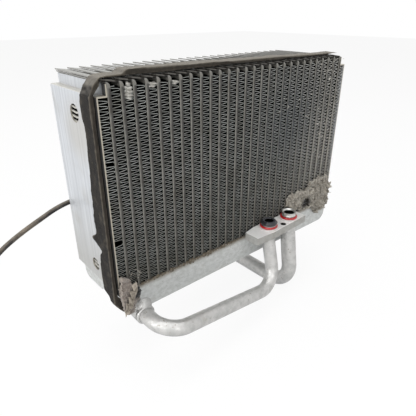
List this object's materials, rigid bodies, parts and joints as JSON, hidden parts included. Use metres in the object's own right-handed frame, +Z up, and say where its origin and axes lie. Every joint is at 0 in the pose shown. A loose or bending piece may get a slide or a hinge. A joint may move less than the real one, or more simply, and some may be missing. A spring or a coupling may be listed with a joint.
{
  "type": "air conditioning evaporator",
  "caption": "Brazed core of flat tubes and corrugated fins over two tanks, with bent pipes to a ported block, a foam gasket and a sensor lead.",
  "frame": {"origin": "centre of the connection block's bolt hole, on the block's top face", "axes": "+X along the core towards its right end, +Y from the block to the back of the core, +Z up the tubes and out of the bolt hole"},
  "size_m": [0.4372, 0.1617, 0.3014],
  "materials": {
    "tube_metal": "brazed, dusty",
    "fin_metal": "brazed, dirty",
    "plate_metal": "rolled sheet",
    "tank_metal": "brazed, matt",
    "block_metal": "extruded, sawn and machined",
    "spigot_metal": "turned",
    "seal_rubber": "smooth, oiled",
    "sleeve_rubber": "moulded, matt",
    "pipe_metal": "drawn and bent, matt",
    "foam": "closed cell foam, dusty",
    "sensor_plastic": "moulded",
    "cable_sheath": "extruded, dusty"
  },
  "bodies": {
    "root": {"tube_01": "tube_metal", "tube_02": "tube_metal", "tube_03": "tube_metal", "tube_04": "tube_metal", "tube_05": "tube_metal", "tube_06": "tube_metal", "tube_07": "tube_metal", "tube_08": "tube_metal", "tube_09": "tube_metal", "tube_10": "tube_metal", "tube_11": "tube_metal", "tube_12": "tube_metal", "tube_13": "tube_metal", "tube_14": "tube_metal", "tube_15": "tube_metal", "tube_16": "tube_metal", "tube_17": "tube_metal", "tube_18": "tube_metal", "tube_19": "tube_metal", "tube_20": "tube_metal", "tube_21": "tube_metal", "tube_22": "tube_metal", "tube_23": "tube_metal", "tube_24": "tube_metal", "tube_25": "tube_metal", "tube_26": "tube_metal", "tube_27": "tube_metal", "tube_28": "tube_metal", "fin_bank_1": "fin_metal", "fin_bank_2": "fin_metal", "fin_bank_3": "fin_metal", "fin_bank_4": "fin_metal", "fin_bank_5": "fin_metal", "fin_bank_6": "fin_metal", "left_end_plate": "plate_metal", "right_end_plate": "plate_metal", "header_plate": "tank_metal", "front_tank": "tank_metal", "rear_tank": "tank_metal", "liquid_socket": "tank_metal", "outlet_socket": "tank_metal", "connection_block": "block_metal", "left_spigot": "spigot_metal", "right_spigot": "spigot_metal", "left_seal": "seal_rubber", "right_seal": "seal_rubber", "spigot_sleeve": "sleeve_rubber", "liquid_pipe": "pipe_metal", "suction_pipe": "pipe_metal", "foam_gasket": "foam", "foam_scrap": "foam", "foam_fold": "foam", "sensor_holder": "sensor_plastic", "sensor_connector": "sensor_plastic", "sensor_cable": "cable_sheath"}
  },
  "joints": []
}
